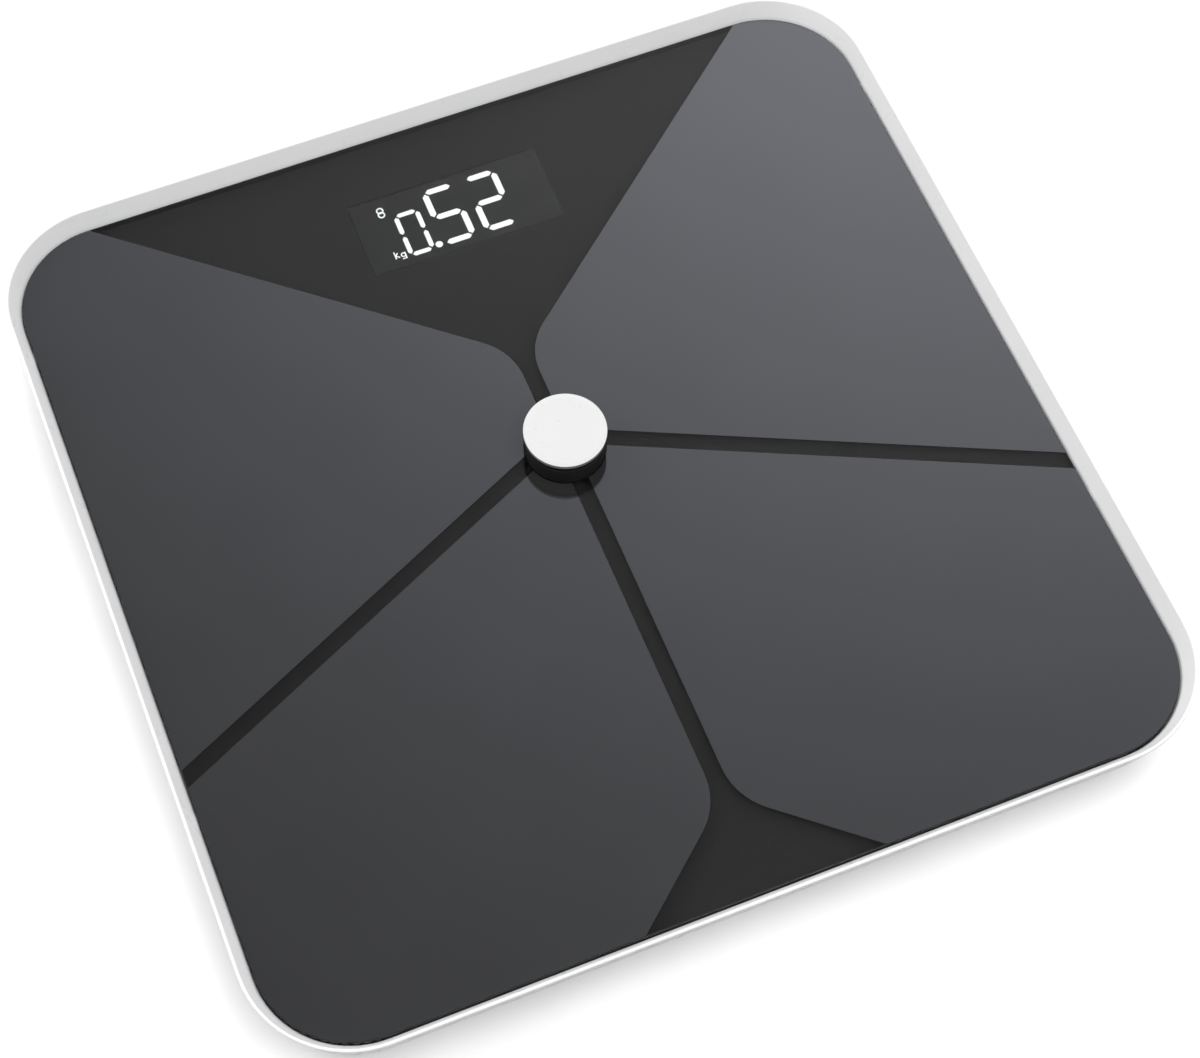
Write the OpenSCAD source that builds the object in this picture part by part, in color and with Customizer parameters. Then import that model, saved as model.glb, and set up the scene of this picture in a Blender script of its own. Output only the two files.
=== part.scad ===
// Digital bathroom scale: a glass platform in a white tray with a raised lip.
// Origin: centre of the footprint on the floor. +Z up, +Y towards the display, +X to the user's right.

/* [Platform] */
// Width and depth over the raised lip
outer_w = 280; // [278:1:290]
// Corner radius over the raised lip
outer_r = 32; // [31:0.5:33]
// Width of the lip beside the glass
lip_w = 4; // [3.8:0.1:4.2]
// Height of the lip's crest above the glass
lip_rise = 5.4; // [4:0.1:6]
// Height of the glass top above the floor
glass_top = 24; // [24:0.25:25]
// Thickness of the glass
glass_t = 5; // [4.5:0.1:5]

/* [Electrodes] */
// Width of the bare lines between the electrodes
gap_w = 5.1; // [3:0.1:8]
// Distance from the centre to the point where the side lines meet
hub_y = 15.2; // [10:0.1:18]
// Fall of the side lines from that point, in degrees
side_fall = 24.9; // [15:0.1:30]
// Slope of the bare areas' edges at the back and front, in degrees
wedge_slope = 40; // [35:0.5:45]
// Half width of the bare area at the back edge
back_half = 108.3; // [90:0.1:112]
// Half width of the bare area at the front edge
front_half = 35.6; // [25:0.1:45]
// Rounding of the electrodes' inner corners
inner_r = 20; // [10:0.5:22]

/* [Button] */
// Distance from the centre to the button's axis
button_y = 11; // [8:0.1:13]
// Radius of the white cap
cap_r = 12.25; // [12:0.05:13]
// Thickness of the white cap
cap_t = 2; // [1.5:0.1:3]
// Radius of the black collar
collar_r = 12.1; // [11:0.1:12.5]
// Height of the collar above the glass
collar_rise = 6.7; // [4:0.1:7.5]
// How far the button goes down
button_travel = 1.2; // [0.6:0.1:1.2]

/* [Display] */
// Distance from the centre to the middle of the display window
display_y = 102.8; // [100:0.1:104]
// Width of the display window
display_w = 62.6; // [58:0.1:64]
// Depth of the display window
display_d = 27.1; // [26:0.1:28]
// Height of the two large digits
digit_h = 21.6; // [18:0.1:22]

/* [Feet] */
// Height of the underside above the floor
clearance = 4.5; // [4.5:0.1:4.7]
// Radius of the foot cups
foot_r = 16.5; // [15.5:0.1:17]
// How far a foot goes up at full load
foot_travel = 0.5; // [0.2:0.1:0.5]

/* [Hidden] */
$fn = 64;
eps = 0.05;

// Rounded square shared by the glass, the lip and the tray
corner_c = outer_w / 2 - outer_r;
glass_r = outer_r - lip_w;
edge_chamfer = 0.3;
seat_r = glass_r + 0.2;

// Heights
wall = 2;
floor_top = clearance + wall;
film_t = 0.1;
tape_t = 0.9;
shelf_t = 1.8;
glass_bottom = glass_top - glass_t;
print_bottom = glass_bottom - film_t;
shelf_z = print_bottom - tape_t;
seam_z = shelf_z - shelf_t;

// Lip
crest_r = 0.5;
edge_z = glass_top + lip_rise - crest_r;
flare = 0.24;
root_z = glass_top - 1.6;
inner_lean = 22;

// Tray
foot_pos = corner_c - 12;
tray_r = 17;
shelf_r = 20;
case_boss_r = 3.5;
case_boss_at = corner_c + 18;
case_boss_off = 45;
case_boss_top = 8.7;
case_head_z = floor_top + 0.4;
curve_steps = 8;

// Screws: head radius, head height, shank radius, shank length
board_screw = [2, 1.4, 1, 4.5];
cell_screw = [2.4, 1.4, 1.15, 5.5];
case_screw = [2.8, 1.8, 1.4, 9];
thread_gap = 0.05;
hole_gap = 0.2;
head_gap = 0.3;

// Load cells
cell_w = 34;
slot_w = 26;
tongue_w = 22;
cell_t = 2;
cell_z = 11;
cell_top = cell_z + cell_t;
holder_w = 40;
holder_top = cell_top + 2;
ear_off = 24;
neck_r = 6.9;
neck_top = 9.4;
guide_gap = 0.08;

// Boards
board_z = 11.5;
board_t = 1.2;
board_top = board_z + board_t;
board_w = 80;
board_y0 = 79;
board_y1 = 123;
post_x = 36;
post_ys = [83, 119];
pin_x = 37;
lead_y_back = 98;
lead_y_front = -60;
lead_x_front = 60;
pin_y_front = 88;
lead_w = 4;
lead_t = 0.1;
button_board_z = 8;
peg_x = 9;
peg_r = 0.95;
housing_top = print_bottom - 0.1;
light_t = 1.5;

// Button stack
glass_hole_r = 8.3;
tube_r = 8;
gasket_t = 0.4;
collar_top = glass_top + collar_rise;
cap_z = collar_top + 0.1 + button_travel;
tube_bottom = 15.5;
stem_r = 3.82;
stem_bore_r = stem_r + guide_gap;
stem_head_r = 8;
stem_head_t = 0.9;
spring_seat = glass_top + 2.4;
clip_t = 0.8;
clip_top = tube_bottom - 0.05;
clip_groove_r = 3;
plunger_r = 1.7;
switch_top = button_board_z + board_t + 3;
stem_bottom = switch_top + button_travel + 0.2;

// Battery bay
cell_d = 10.5;
cell_pitch = 11;
bay_y = -66;
bay_hx = 25.5;
bay_hy = 17.2;
bay_wall = 1.5;
bay_roof = 17.3;
battery_z = floor_top + 0.2 + cell_d / 2;
battery_l = 44.5;
nub_l = 1.2;
plate_t = 0.4;
contact_t = 0.6;
door_t = 1.8;
door_gap = 0.3;
barrel_r = door_t / 2;
hinge_y = bay_y + bay_hy - door_gap - barrel_r;
hinge_z = clearance + barrel_r;
hinge_pin_r = 0.6;

// Unit button under the main board
unit_at = [24, 96];
unit_r = 3.9;
unit_travel = 0.7;
unit_tip = board_z - 1.5;

// Wiring
wire_r = 0.8;
wire_z = 10.1;
wire_sides = 8;
plug_at = [[36, 101], [36, 91]];

// Directions of the four corners
BACK_LEFT = [-1, 1];
BACK_RIGHT = [1, 1];
FRONT_LEFT = [-1, -1];
FRONT_RIGHT = [1, -1];
SIDES = [BACK_LEFT, BACK_RIGHT, FRONT_LEFT, FRONT_RIGHT];

// ---------- shared shapes ----------

// Points of a quadratic curve from a to b, pulled towards c
function curve(a, c, b) = [for (i = [0:curve_steps])
    let (t = i / curve_steps) (1 - t) * (1 - t) * a + 2 * t * (1 - t) * c + t * t * b];

// Points of an arc about c
function arc(c, r, from, to, steps) = [for (i = [0:steps])
    let (a = from + (to - from) * i / steps) c + r * [cos(a), sin(a)]];

// Outside of the tray and lip at a height, measured from the corner's centre
function outside_r(z) = outer_r - (edge_z - z) * flare;

// Rounded square whose corners have radius r about the shared corner centres
module rounded_square(r) {
    square([2 * (corner_c + r), 2 * corner_c], center = true);
    square([2 * corner_c, 2 * (corner_c + r)], center = true);
    for (x = [-corner_c, corner_c], y = [-corner_c, corner_c]) translate([x, y]) circle(r);
}

// Carries a wall section, drawn as (distance from the corner's centre, height), round the square
module around() {
    for (turn = [0:3]) rotate(90 * turn) {
        translate([corner_c, 0, 0]) rotate([90, 0, 0]) linear_extrude(2 * corner_c, center = true) children();
        translate([corner_c, corner_c, 0]) rotate_extrude(angle = 90) children();
    }
}

// Straight cylinder between two heights
module rod(r, z0, z1) {
    translate([0, 0, z0]) cylinder(r = r, h = z1 - z0);
}

// Ring between two heights
module ring(r_out, r_in, z0, z1) {
    difference() {
        rod(r_out, z0, z1);
        rod(r_in, z0 - 1, z1 + 1);
    }
}

// Box centred on the axis between two heights
module block(w, d, z0, z1) {
    translate([-w / 2, -d / 2, z0]) cube([w, d, z1 - z0]);
}

// Round tube along a list of points, one ring of vertices at each point
module tube(path, r, sides) {
    last = len(path) - 1;
    rings = [for (i = [0:last])
        let (
            along = path[min(i + 1, last)] - path[max(i - 1, 0)],
            dir = along / norm(along),
            side = cross(dir, [0, 0, 1]) / norm(cross(dir, [0, 0, 1])),
            up = cross(side, dir)
        )
        for (k = [0:sides - 1]) path[i] + r * (cos(360 * k / sides) * side + sin(360 * k / sides) * up)];
    skin = [for (i = [0:last - 1], k = [0:sides - 1])
        let (n = (k + 1) % sides)
        [i * sides + k, i * sides + n, (i + 1) * sides + n, (i + 1) * sides + k]];
    start = [for (k = [sides - 1:-1:0]) k];
    end = [for (k = [0:sides - 1]) last * sides + k];
    polyhedron(points = rings, faces = concat(skin, [start, end]), convexity = 6);
}

// Wire coil from z0 to z1; its radius runs from r0 to r1
module coil(r0, r1, z0, z1, wire, turns, steps) {
    path = [for (i = [0:turns * steps])
        let (t = i / (turns * steps), r = r0 + (r1 - r0) * t)
        [r * cos(360 * i / steps), r * sin(360 * i / steps), z0 + wire + (z1 - z0 - 2 * wire) * t]];
    tube(path, wire, 6);
}

// ---------- tray and frame ----------

module case_boss_places() {
    for (turn = [0:3], y = [-case_boss_off, case_boss_off])
        rotate(90 * turn) translate([case_boss_at, y, 0]) children();
}

module at_corner(side) {
    translate([side.x * foot_pos, side.y * foot_pos, 0]) children();
}

module corners() {
    for (side = SIDES) at_corner(side) children();
}

module cover_section() {
    low = outside_r(clearance);
    top = outside_r(seam_z);
    polygon(concat(
        curve([tray_r, clearance], [low, clearance], [top, seam_z]),
        curve([top - wall, seam_z], [low - wall, floor_top], [tray_r, floor_top])
    ));
}

// Low stiffening ribs that cross the tray's floor
module floor_ribs() {
    rib_top = wire_z - wire_r - 0.1;
    reach = corner_c + 14;
    for (at = [-66, 66]) {
        translate([at, 0, 0]) block(1.6, 2 * reach, floor_top - eps, rib_top);
        translate([0, at, 0]) difference() {
            block(2 * reach, 1.6, floor_top - eps, rib_top);
            block(2 * bay_hx, 4, floor_top - 1, rib_top + 1);
        }
    }
}

// Square ring that carries a load cell, with posts for the holder's screws
module cell_seat() {
    difference() {
        block(holder_w, holder_w, floor_top - eps, cell_z);
        block(holder_w - 10, holder_w - 10, floor_top - 1, cell_z + 1);
    }
    for (y = [-ear_off, ear_off]) translate([0, y, 0]) rod(3.5, floor_top - eps, cell_z);
}

// Walls and roof round the batteries
module battery_box() {
    translate([0, bay_y, 0])
        block(2 * (bay_hx + bay_wall), 2 * (bay_hy + bay_wall), floor_top - eps, bay_roof + 1);
}

module door_stop() {
    translate([-bay_hx, bay_y - bay_hy - eps, clearance + door_t + 0.05]) cube([2 * bay_hx, 0.7, 1.2]);
}

module board_posts() {
    for (x = [-post_x, post_x], y = post_ys) translate([x, y, 0]) rod(3, floor_top - eps, board_z);
    for (x = [-peg_x, peg_x]) translate([x, button_y, 0]) {
        rod(2.5, floor_top - eps, button_board_z);
        rod(peg_r, floor_top, button_board_z + board_t + 0.4);
    }
}

module bottom_cover() {
    color("white") difference() {
        union() {
            translate([0, 0, clearance]) linear_extrude(wall) rounded_square(tray_r);
            around() cover_section();
            floor_ribs();
            corners() cell_seat();
            battery_box();
            board_posts();
            case_boss_places() rod(4, floor_top - eps, case_boss_top);
        }
        corners() {
            rod(neck_r + guide_gap, 0, floor_top + 1);
            for (y = [-ear_off, ear_off]) translate([0, y, 0])
                screw_hole(cell_screw, thread_gap, floor_top, cell_z + 1);
        }
        for (side = SIDES) at_corner(side)
            translate([-side.x * holder_w / 2, 0, 0]) block(14, 2.4, wire_z - 1.1, cell_z + 1);
        difference() {
            translate([0, bay_y, 0]) block(2 * bay_hx, 2 * bay_hy, 0, bay_roof);
            door_stop();
        }
        translate([0, hinge_y, hinge_z]) rotate([0, 90, 0])
            cylinder(r = hinge_pin_r + 0.05, h = 2 * (bay_hx + bay_wall) - 0.4, center = true);
        case_boss_places() {
            screw_hole(case_screw, hole_gap, 0, case_boss_top + 1);
            rod(case_screw[0] + head_gap, 0, case_head_z);
        }
        for (x = [-post_x, post_x], y = post_ys) translate([x, y, 0])
            screw_hole(board_screw, thread_gap, floor_top, board_z + 1);
        translate(unit_at) rod(unit_r + 0.15, 0, floor_top + 1);
    }
}

// Lip, glass seat, shelf and locating skirt in one section
module frame_section() {
    crest = arc([outer_r - crest_r, edge_z], crest_r, 0, 180 - inner_lean, 6);
    polygon(concat(
        [[shelf_r, seam_z], [outside_r(seam_z), seam_z]],
        crest,
        [[seat_r, root_z], [seat_r, shelf_z], [shelf_r, shelf_z]]
    ));
    translate([shelf_r + 4.2, seam_z - 2.8]) square([1.5, 3]);
}

module top_frame() {
    color("whitesmoke") difference() {
        union() {
            around() frame_section();
            case_boss_places() rod(case_boss_r, case_boss_top, shelf_z);
        }
        case_boss_places() screw_hole(case_screw, thread_gap, case_boss_top - 1, seam_z);
    }
}

// ---------- glass ----------

module glass_section() {
    polygon([
        [shelf_r, glass_bottom], [glass_r - edge_chamfer, glass_bottom],
        [glass_r, glass_bottom + edge_chamfer], [glass_r, glass_top - edge_chamfer],
        [glass_r - edge_chamfer, glass_top], [shelf_r, glass_top],
    ]);
}

module glass_platform() {
    color([0.1, 0.11, 0.11, 0.9]) difference() {
        union() {
            translate([0, 0, glass_bottom]) linear_extrude(glass_t) rounded_square(shelf_r);
            around() glass_section();
        }
        translate([0, button_y, 0]) rod(glass_hole_r, glass_bottom - 1, glass_top + 1);
    }
}

// Black ink under the glass, open at the display
module glass_print() {
    color("black") translate([0, 0, print_bottom]) linear_extrude(film_t) difference() {
        rounded_square(glass_r - edge_chamfer);
        translate([0, display_y]) square([display_w, display_d], center = true);
        translate([0, button_y]) circle(glass_hole_r);
    }
}

module foam_tape() {
    color("gray") difference() {
        around() translate([shelf_r + 0.6, shelf_z]) square([glass_r - shelf_r - 1, tape_t]);
        for (y = [lead_y_back, lead_y_front]) translate([0, y, 0])
            block(2 * outer_w, lead_w + 1, shelf_z - 1, print_bottom + 1);
    }
}

// Electrode of the right half as an outline; back is 1 for the back one and -1 for the front one
module electrode_outline(back) {
    half_gap = gap_w / 2;
    edge = corner_c + glass_r;
    half = back > 0 ? back_half : front_half;
    wedge_y = back * (edge - (half - half_gap) * tan(wedge_slope));
    round_y = wedge_y - back * inner_r * tan(45 - wedge_slope / 2);
    turn = back > 0 ? 90 + wedge_slope : 270 - wedge_slope;
    far = 2 * edge;
    hub_edge = hub_y + back * half_gap / cos(side_fall);
    intersection() {
        rounded_square(glass_r - edge_chamfer);
        polygon(concat(
            [[half_gap, hub_edge - half_gap * tan(side_fall)]],
            arc([half_gap + inner_r, round_y], inner_r, 180, turn, 10),
            [
                [half_gap + far, wedge_y + back * far * tan(wedge_slope)],
                [half_gap + far, hub_edge - (half_gap + far) * tan(side_fall)],
            ]
        ));
    }
}

module electrode(side) {
    color("dimgray") translate([0, 0, glass_top]) linear_extrude(film_t) difference() {
        on_side(side.x) electrode_outline(side.y);
        translate([0, button_y]) circle(collar_r + 0.2);
    }
}

// Mirrors its children to the left when side is -1
module on_side(side) {
    if (side < 0) mirror([1, 0]) children();
    else children();
}

// Foils that wrap the glass edge and run under the print to the board's contacts
module electrode_leads() {
    edge = corner_c + glass_r;
    color("silver") for (side = SIDES) on_side(side.x) {
        y = side.y > 0 ? lead_y_back : lead_y_front;
        end_y = side.y > 0 ? lead_y_back : pin_y_front;
        end_x = side.y > 0 ? pin_x - lead_w / 2 : lead_x_front - lead_w / 2;
        translate([end_x, y - lead_w / 2, print_bottom - lead_t])
            cube([edge + lead_t - end_x, lead_w, lead_t]);
        translate([edge, y - lead_w / 2, print_bottom - lead_t])
            cube([lead_t, lead_w, glass_top - edge_chamfer - print_bottom]);
        if (side.y < 0) {
            translate([lead_x_front - lead_w / 2, y - lead_w / 2, print_bottom - lead_t])
                cube([lead_w, end_y - y + lead_w, lead_t]);
            translate([pin_x - lead_w / 2, end_y - lead_w / 2, print_bottom - lead_t])
                cube([lead_x_front - pin_x + lead_w, lead_w, lead_t]);
        }
    }
}

// ---------- display ----------

// Segment bar with pointed ends
module bar(length, t) {
    polygon([
        [-length / 2, 0], [-length / 2 + t / 2, t / 2], [length / 2 - t / 2, t / 2],
        [length / 2, 0], [length / 2 - t / 2, -t / 2], [-length / 2 + t / 2, -t / 2],
    ]);
}

// Seven-segment digit; lit lists its bars: top, middle, bottom, then the uprights
module digit(w, h, t, lit) {
    x = (w - t) / 2;
    y = (h - t) / 2;
    gap = 0.8;
    for (row = [0:2]) if (lit[row]) translate([0, y * (1 - row)]) bar(2 * x - gap, t);
    for (k = [0:3]) if (lit[3 + k])
        translate([k % 2 == 0 ? -x : x, k < 2 ? y / 2 : -y / 2]) rotate(90) bar(y - gap, t);
}

// Small link mark: two linked rings
module link_mark(t) {
    for (y = [-0.8, 0.8]) translate([0, y]) difference() {
        circle(1.2);
        circle(1.2 - t);
    }
}

// Unit mark of kilograms, drawn with plain strokes
module unit_mark(t) {
    square([t, 2.7]);
    translate([t / 2, 0.9]) rotate(40) square([1.5, t]);
    translate([t / 2, 1.1]) rotate(-42) square([1.5, t]);
    translate([2.75, 0.85]) difference() {
        circle(0.85);
        circle(0.85 - t);
    }
    translate([3.6 - t, -0.35]) square([t, 2.05]);
    translate([2.1, -0.75]) square([1.5, t]);
}

// Outline of everything that is lit, about the window's middle
module lit_outline() {
    base = -10.7;
    small_h = 0.765 * digit_h;
    large_w = 10.9;
    large_t = 1.95;
    translate([11.5, base + digit_h / 2]) digit(large_w, digit_h, large_t, [1, 1, 1, 0, 1, 1, 0]);
    translate([-2.3, base + digit_h / 2]) digit(large_w, digit_h, large_t, [1, 1, 1, 1, 0, 0, 1]);
    translate([-14.6, base + small_h / 2]) digit(8.4, small_h, 1.5, [1, 0, 1, 1, 1, 1, 1]);
    translate([-8.9, base + 1.3]) circle(1.15);
    translate([-21.8, base + 18.8]) link_mark(0.5);
    translate([-23.2, base + 0.9]) unit_mark(0.4);
}

module display_window() {
    color([0.1, 0.1, 0.1, 0.8]) translate([0, display_y, 0])
        block(display_w, display_d, print_bottom, glass_bottom);
}

module display_housing() {
    color("black") difference() {
        translate([0, display_y, 0]) block(display_w - 0.6, display_d - 0.6, board_top, housing_top);
        translate([0, display_y, housing_top - light_t]) linear_extrude(light_t + 1) lit_outline();
    }
}

module display_digits() {
    color("white") translate([0, display_y, housing_top - light_t]) linear_extrude(light_t) lit_outline();
}

// ---------- boards ----------

module main_board() {
    mid_y = (board_y0 + board_y1) / 2;
    color("darkgreen") difference() {
        translate([0, mid_y, 0]) block(board_w, board_y1 - board_y0, board_z, board_top);
        for (x = [-post_x, post_x], y = post_ys) translate([x, y, 0])
            screw_hole(board_screw, hole_gap, board_z - 1, board_top + 1);
    }
}

// Chips, plugs and spring contacts, each a solid of its own
module board_parts() {
    color("dimgray") {
        translate([-8, 100, 0]) block(10, 10, board_z - 1.6, board_z);
        translate([6, 108, 0]) block(5, 4, board_z - 1.5, board_z);
        translate([8, 92, 0]) block(8, 3.2, board_z - 2.8, board_z);
        translate([-24, 112, 0]) rod(2.5, board_z - 4.5, board_z);
        for (x = [-1, 1], at = plug_at) translate([x * at[0], at[1], 0]) block(5, 7, board_z - 3, board_z);
        translate([-20, 84, 0]) block(7, 5, board_z - 3, board_z);
        translate([4, 84, 0]) block(7, 5, board_z - 3, board_z);
    }
    color("gold") for (x = [-pin_x, pin_x], y = [lead_y_back, pin_y_front])
        translate([x, y, 0]) rod(0.9, board_top, print_bottom - lead_t);
}

// Pan-head screw with its head's underside at z
module screw(size, z) {
    head_r = size[0];
    head_top = z + size[1];
    difference() {
        union() {
            rod(head_r, z, head_top);
            rod(size[2], z - size[3], z + eps);
        }
        for (turn = [0, 90]) rotate(turn) block(head_r * 1.2, 0.5, head_top - size[1] / 2, head_top + 1);
    }
}

// Hole for a screw's shank, wider than it by gap
module screw_hole(size, gap, z0, z1) {
    rod(size[2] + gap, z0, z1);
}

module board_screws() {
    color("silver") for (x = [-post_x, post_x], y = post_ys)
        translate([x, y, 0]) screw(board_screw, board_top);
}

module button_board() {
    color("darkgreen") translate([0, button_y, 0]) difference() {
        block(24, 18, button_board_z, button_board_z + board_t);
        for (x = [-peg_x, peg_x]) translate([x, 0, 0])
            rod(peg_r + 0.1, button_board_z - 1, button_board_z + board_t + 1);
    }
}

module power_switch() {
    base = button_board_z + board_t;
    color("black") translate([0, button_y, 0]) difference() {
        block(8, 8, base, switch_top);
        rod(plunger_r + eps, base + 0.5, switch_top + 1);
    }
}

module switch_plunger() {
    color("brown") translate([0, button_y, 0])
        rod(plunger_r, button_board_z + board_t + 0.6 + button_travel, stem_bottom);
}

// ---------- power button ----------

module button_cap() {
    edge = 0.4;
    color("white") translate([0, button_y, cap_z]) rotate_extrude() polygon([
        [0, 0], [cap_r - edge, 0], [cap_r, edge], [cap_r, cap_t - edge], [cap_r - edge, cap_t], [0, cap_t],
    ]);
}

module button_stem() {
    color("dimgray") translate([0, button_y, 0]) difference() {
        union() {
            rod(stem_r, stem_bottom, cap_z);
            rod(stem_head_r, cap_z - stem_head_t, cap_z);
        }
        ring(stem_r + 1, clip_groove_r, clip_top - clip_t, clip_top);
    }
}

// Open retaining ring that keeps the stem in the collar
module button_clip() {
    color("silver") translate([0, button_y, 0]) difference() {
        ring(5.8, clip_groove_r, clip_top - clip_t, clip_top);
        translate([0, -5, 0]) block(4.4, 10, clip_top - 2, clip_top + 1);
    }
}

module button_spring() {
    color("silver") translate([0, button_y, 0])
        coil(5.9, 5.9, spring_seat, cap_z - stem_head_t, 0.25, 4, 24);
}

module button_collar() {
    counterbore_r = 9.5;
    color("black") translate([0, button_y, 0]) difference() {
        union() {
            rod(collar_r, glass_top + gasket_t, collar_top - 0.4);
            rod(collar_r - 0.4, collar_top - 0.5, collar_top);
            rod(tube_r, tube_bottom, glass_top + gasket_t + eps);
        }
        rod(stem_bore_r, tube_bottom - 1, collar_top + 1);
        rod(counterbore_r, spring_seat, collar_top + 1);
        ring(tube_r, tube_r - 0.9, spring_seat, spring_seat + eps);
    }
}

module collar_gasket() {
    color("black") translate([0, button_y, 0])
        ring(collar_r - 0.2, tube_r + 0.1, glass_top, glass_top + gasket_t);
}

module collar_nut() {
    color("dimgray") translate([0, button_y, print_bottom - 3]) difference() {
        cylinder(r = 12, h = 3, $fn = 6);
        rod(tube_r + 0.05, -1, 4);
    }
}

// ---------- batteries ----------

// Cell k of three; the middle one faces the other way
module battery_place(k) {
    facing = k == 1 ? -1 : 1;
    translate([0, bay_y + (k - 1) * cell_pitch, battery_z]) on_side(facing) children();
}

module battery(k) {
    nub_end = bay_hx - plate_t - contact_t;
    color("gold") battery_place(k) rotate([0, 90, 0]) {
        translate([0, 0, nub_end - battery_l]) cylinder(d = cell_d, h = battery_l - nub_l);
        translate([0, 0, nub_end - nub_l - eps]) cylinder(r = 1.9, h = nub_l + eps);
    }
}

module battery_plates() {
    color("silver") for (k = [0:2]) battery_place(k) {
        for (side = [-1, 1])
            translate([side * (bay_hx - plate_t / 2), 0, 0]) block(plate_t, 9, -4.5, 4.5);
        translate([bay_hx - plate_t - contact_t, 0, 0]) rotate([0, 90, 0])
            cylinder(r = 1.8, h = contact_t + eps);
    }
}

module battery_springs() {
    tail = battery_l - (2 * bay_hx - plate_t - contact_t);
    length = -tail - plate_t;
    color("silver") for (k = [0:2]) battery_place(k)
        translate([-bay_hx + plate_t, 0, 0]) rotate([0, 90, 0]) coil(3.8, 2.2, 0, length, 0.3, 3, 16);
}

module battery_door() {
    lip_y = bay_y - bay_hy + door_gap;
    width = 2 * (bay_hx - door_gap);
    color("white") difference() {
        union() {
            translate([-width / 2, lip_y, clearance]) cube([width, hinge_y - lip_y, door_t]);
            translate([0, hinge_y, hinge_z]) rotate([0, 90, 0]) {
                cylinder(r = barrel_r, h = width, center = true);
                cylinder(r = hinge_pin_r, h = 2 * (bay_hx + bay_wall) - 1, center = true);
            }
        }
        // U-shaped slot that frees the latch finger
        for (x = [-6, 6]) translate([x, lip_y + 4, 0]) block(1, 8.2, 0, floor_top);
        // finger grooves
        for (k = [0:3]) translate([0, lip_y + 1.6 + 1.8 * k, 0]) block(9, 0.8, 0, clearance + 0.5);
    }
}

// ---------- unit button ----------

module unit_button() {
    color("gray") translate(unit_at) {
        rod(unit_r, clearance - 0.2, 7);
        rod(5.2, floor_top + 0.05, floor_top + 0.55);
        rod(1.4, 7 - eps, unit_tip);
    }
}

module unit_switch() {
    color("black") translate(unit_at) difference() {
        block(6, 6, board_z - 2.5, board_z);
        rod(1.5, board_z - 3, unit_tip + unit_travel + 0.3);
    }
}

// ---------- load cells and feet ----------

// Steel frame with a tongue that joins it on one side
module load_cell(side) {
    color("silver") at_corner(side) translate([0, 0, cell_z]) linear_extrude(cell_t) difference() {
        square(cell_w, center = true);
        difference() {
            square(slot_w, center = true);
            square(tongue_w, center = true);
            translate([-5, 0]) square([10, slot_w / 2 + 1]);
        }
    }
}

module cell_holder(side) {
    color("ivory") at_corner(side) difference() {
        union() {
            block(holder_w, holder_w, cell_z, holder_top);
            for (y = [-ear_off, ear_off]) {
                translate([0, y, 0]) rod(4, cell_z, cell_top);
                translate([0, y * 0.85, 0]) block(8, ear_off * 0.3, cell_z, cell_top);
            }
        }
        block(cell_w + 0.3, cell_w + 0.3, cell_z - 1, cell_top);
        block(cell_w - 8, cell_w - 8, cell_z - 1, holder_top + 1);
        for (y = [-ear_off, ear_off]) translate([0, y, 0])
            screw_hole(cell_screw, hole_gap, cell_z - 1, holder_top);
    }
}

module foot_cup(side) {
    rim_top = clearance - foot_travel - 0.2;
    color("darkgray") at_corner(side) difference() {
        union() {
            rod(foot_r, 1.2, rim_top);
            rod(neck_r, rim_top - eps, neck_top);
            rod(9, floor_top + eps, floor_top + 1.2);
        }
        rod(foot_r - 1.5, 1, 2.2);
    }
}

module foot_pad(side) {
    color("dimgray") at_corner(side) difference() {
        rod(foot_r - 1.55, 0, 2.2);
        for (r = [5, 9]) ring(r + 0.8, r, -1, 0.5);
    }
}

module foot_bush(side) {
    color("gray") at_corner(side) rod(5, neck_top, cell_z);
}

module strain_gauges() {
    color("goldenrod") corners() translate([0, tongue_w / 2 - 2, 0]) block(5, 7, cell_top, cell_top + 0.15);
}

module holder_screws() {
    color("silver") corners() for (y = [-ear_off, ear_off])
        translate([0, y, 0]) screw(cell_screw, cell_top);
}

module case_screws() {
    color("silver") case_boss_places() translate([0, 0, case_head_z]) mirror([0, 0, 1]) screw(case_screw, 0);
}

// ---------- wiring ----------

// Route of a load cell's lead on the right half, as (x, y) turns
function cell_route(back) = back > 0
    ? [[84, 96], [70, 96], [62, 99], [56, 101], [38.5, 101]]
    : [[84, -96], [70, -96], [63, -94], [60, -88], [60, 76], [58, 86], [52, 91], [38.5, 91]];

module wire(route) {
    tube([for (p = route) [p[0], p[1], wire_z]], wire_r, wire_sides);
}

module wiring() {
    box_y = bay_y + bay_hy + bay_wall;
    color("firebrick") {
        for (side = SIDES) wire([for (p = cell_route(side.y)) [side.x * p[0], p[1]]]);
        for (x = [-21.5, -18.5]) wire([[x, box_y], [x, box_y + 20], [x, 60], [x, 81.5]]);
    }
    color("gray") for (x = [2.5, 5.5]) wire([[x, 17], [x, 60], [x, 81.5]]);
}

// ---------- parts ----------

bottom_cover();
top_frame();
glass_platform();
glass_print();
foam_tape();
electrode(BACK_LEFT);  // electrode_back_left
electrode(BACK_RIGHT);  // electrode_back_right
electrode(FRONT_LEFT);  // electrode_front_left
electrode(FRONT_RIGHT);  // electrode_front_right
electrode_leads();
display_window();
display_housing();
display_digits();
main_board();
board_parts();
board_screws();
button_board();
power_switch();
switch_plunger();
button_cap();
button_stem();
button_clip();
button_spring();
button_collar();
collar_gasket();
collar_nut();
battery_door();
battery(0);  // battery_1
battery(1);  // battery_2
battery(2);  // battery_3
battery_springs();
battery_plates();
unit_button();
unit_switch();
load_cell(BACK_LEFT);  // load_cell_back_left
load_cell(BACK_RIGHT);  // load_cell_back_right
load_cell(FRONT_LEFT);  // load_cell_front_left
load_cell(FRONT_RIGHT);  // load_cell_front_right
cell_holder(BACK_LEFT);  // cell_holder_back_left
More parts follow.
